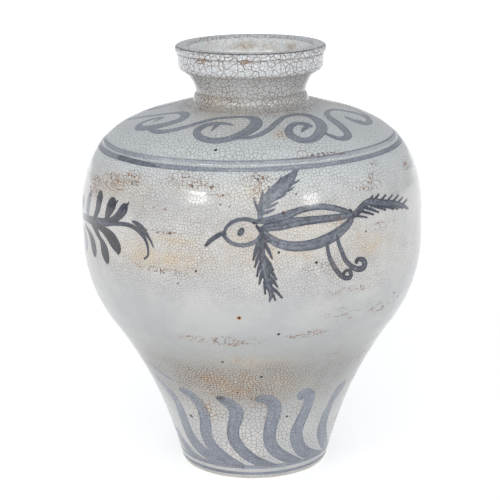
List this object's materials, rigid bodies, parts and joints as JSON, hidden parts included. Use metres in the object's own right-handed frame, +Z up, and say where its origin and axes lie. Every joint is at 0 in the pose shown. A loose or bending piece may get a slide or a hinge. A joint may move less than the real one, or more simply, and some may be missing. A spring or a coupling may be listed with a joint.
{
  "type": "meiping vase",
  "caption": "Tall crackle-glazed stoneware vase with high round shoulders, a narrow neck, a collared mouth and a turned foot, for cut branches or display.",
  "frame": {"origin": "centre of the foot, on the plane that the vase stands on", "axes": "+Z up along the vase's axis of turning, +Y away from the side with the painted bird, +X to the right seen from that side"},
  "size_m": [0.2819, 0.282, 0.355],
  "materials": {
    "bare_clay": "bare fired stoneware, matt and slightly gritty",
    "clay_body": "fired stoneware under the glaze",
    "slip": "fired luting slip",
    "crackle_glaze": "glossy pale blue-grey crackle glaze over grey-blue brush painting, stained brown in places",
    "liner_glaze": "glossy pale grey glaze with faint crackle"
  },
  "bodies": {
    "root": {"foot_ring": "bare_clay", "lower_body": "clay_body", "belly_section": "clay_body", "shoulder_section": "clay_body", "neck": "clay_body", "mouth_collar": "clay_body", "foot_slip": "slip", "lower_slip": "slip", "upper_slip": "slip", "neck_slip": "slip", "collar_slip": "slip", "outer_glaze": "crackle_glaze", "inner_glaze": "liner_glaze", "base_glaze": "liner_glaze"}
  },
  "joints": []
}
